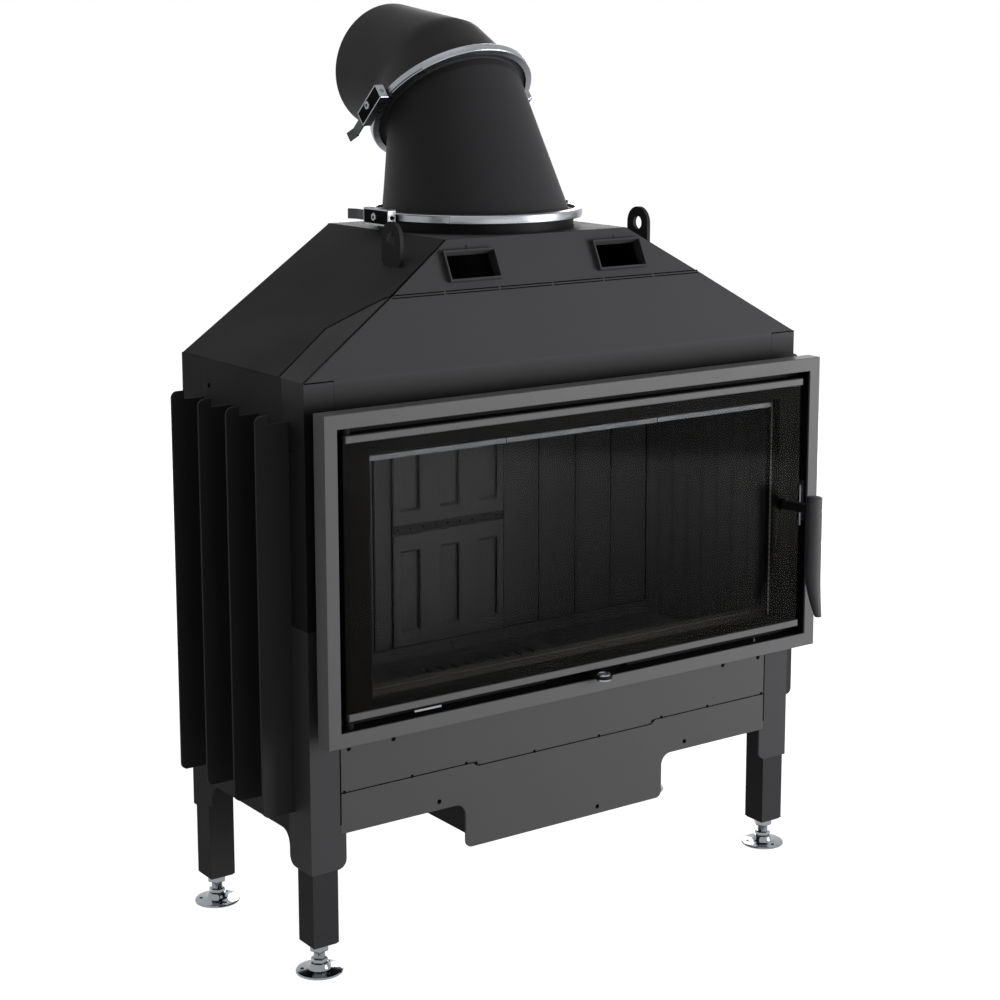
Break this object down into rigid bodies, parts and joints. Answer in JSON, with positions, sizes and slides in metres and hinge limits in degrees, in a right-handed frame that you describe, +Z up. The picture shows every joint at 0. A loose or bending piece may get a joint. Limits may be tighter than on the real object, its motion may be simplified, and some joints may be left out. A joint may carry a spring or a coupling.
{
  "type": "fireplace insert",
  "caption": "Wood-burning firebox insert with hinged glass door, flat front frame, hooded jacket, side fins, levelling feet, air lever and swivelling flue outlet.",
  "frame": {"origin": "on the floor, at the centre of the bounding box seen from above", "axes": "+X to the right seen from the front, +Y from the door to the rear, +Z up"},
  "size_m": [0.962, 0.605, 1.3219],
  "materials": {
    "jacket": "matt black heat-resistant paint",
    "frame": "fine satin black-grey paint",
    "dark": "matt black paint, in shade",
    "fins": "matt black paint",
    "lining": "dark moulded firebrick",
    "grate": "rough cast",
    "sheet": "plain folded sheet",
    "steel": "bright stainless sheet",
    "chrome": "polished",
    "glass": "clear heat-resistant glass with a dark printed border",
    "rope": "braided glass-fibre rope",
    "plastic": "moulded black",
    "board": "pressed mineral board",
    "grip": "matt dark grey"
  },
  "bodies": {
    "casing": {"side_wall_left": "jacket", "side_wall_right": "jacket", "corner_cover_left": "jacket", "corner_cover_right": "jacket", "rear_corners": "jacket", "hood_front": "jacket", "hood_top": "jacket", "hood_side_left": "jacket", "hood_side_right": "jacket", "rear_wall": "jacket", "lower_panel": "frame", "air_outlets": "jacket", "lifting_eyes": "jacket", "fins_left": "fins", "fins_right": "fins", "front_frame": "frame", "surround": "dark", "seal_flange": "dark", "firebox": "dark", "hearth_slabs": "lining", "front_sill": "lining", "liner_left": "lining", "liner_right": "lining", "rear_liners": "lining", "rear_plate_upper": "lining", "rear_plate_lower": "lining", "air_bar": "dark", "air_lip": "sheet", "baffle": "board", "air_box": "dark", "air_intake": "jacket", "leg_tubes": "jacket", "leg_caps": "plastic", "hinge_pins": "steel", "door_catch": "steel", "flue_neck": "dark", "clamp_lower": "steel"},
    "door": {"door_frame": "dark", "door_rails": "frame", "door_glass": "glass", "glass_tape": "rope", "door_rope": "rope", "latch_plate": "steel"},
    "handle": {"handle_shaft": "dark", "handle_grip": "grip", "latch_cam": "steel"},
    "air_control": {"air_lever": "dark", "lever_knob": "chrome", "air_slide": "sheet"},
    "outlet_cone": {"flue_cone": "jacket", "clamp_upper": "steel"},
    "outlet_elbow": {"flue_elbow": "jacket"},
    "clamp_lever_lower": {"clamp_lever_lower": "steel"},
    "clamp_lever_upper": {"clamp_lever_upper": "steel"},
    "grate": {"grate": "grate"},
    "ash_pan": {"ash_pan": "sheet"},
    "foot_front_left": {"foot_front_left": "chrome"},
    "foot_front_right": {"foot_front_right": "chrome"},
    "foot_rear_left": {"foot_rear_left": "chrome"},
    "foot_rear_right": {"foot_rear_right": "chrome"}
  },
  "joints": [
    {"name": "door_hinge", "type": "hinge", "parent": "casing", "child": "door", "pos_m": [-0.3941, -0.21907, 0.57], "axis": [0, 0, -1], "range_deg": [0, 95]},
    {"name": "handle_turn", "type": "hinge", "parent": "door", "child": "handle", "pos_m": [0.373, -0.21907, 0.572], "axis": [0, -1, 0], "range_deg": [0, 60]},
    {"name": "air_slide", "type": "slide", "parent": "casing", "child": "air_control", "axis": [1, 0, 0], "range_m": [-0.06, 0.06]},
    {"name": "outlet_turn", "type": "hinge", "parent": "casing", "child": "outlet_cone", "pos_m": [0, 0.05243, 1.01615], "axis": [0, 0, 1], "continuous": true},
    {"name": "elbow_turn", "type": "hinge", "parent": "outlet_cone", "child": "outlet_elbow", "pos_m": [0, 0.11643, 1.174], "axis": [0, 0.6561, 0.7547], "continuous": true},
    {"name": "clamp_lever_lower_turn", "type": "hinge", "parent": "casing", "child": "clamp_lever_lower", "pos_m": [-0.1673, 0.09073, 1.01615], "axis": [0, 0, 1], "range_deg": [0, 80]},
    {"name": "clamp_lever_upper_turn", "type": "hinge", "parent": "outlet_cone", "child": "clamp_lever_upper", "pos_m": [-0.1373, 0.14534, 1.14887], "axis": [0, 0.6561, 0.7547], "range_deg": [0, 80]},
    {"name": "grate_lift", "type": "slide", "parent": "casing", "child": "grate", "axis": [0, 0, 1], "range_m": [0, 0.24]},
    {"name": "ash_pan_lift", "type": "slide", "parent": "casing", "child": "ash_pan", "axis": [0, 0, 1], "range_m": [0, 0.12]},
    {"name": "foot_front_left_screw", "type": "slide", "parent": "casing", "child": "foot_front_left", "axis": [0, 0, -1], "range_m": [0, 0.03]},
    {"name": "foot_front_right_screw", "type": "slide", "parent": "casing", "child": "foot_front_right", "axis": [0, 0, -1], "range_m": [0, 0.03]},
    {"name": "foot_rear_left_screw", "type": "slide", "parent": "casing", "child": "foot_rear_left", "axis": [0, 0, -1], "range_m": [0, 0.03]},
    {"name": "foot_rear_right_screw", "type": "slide", "parent": "casing", "child": "foot_rear_right", "axis": [0, 0, -1], "range_m": [0, 0.03]}
  ],
  "couplings": [
    {"joint": "ash_pan_lift", "follows": "grate_lift", "ratio": 0.5}
  ]
}
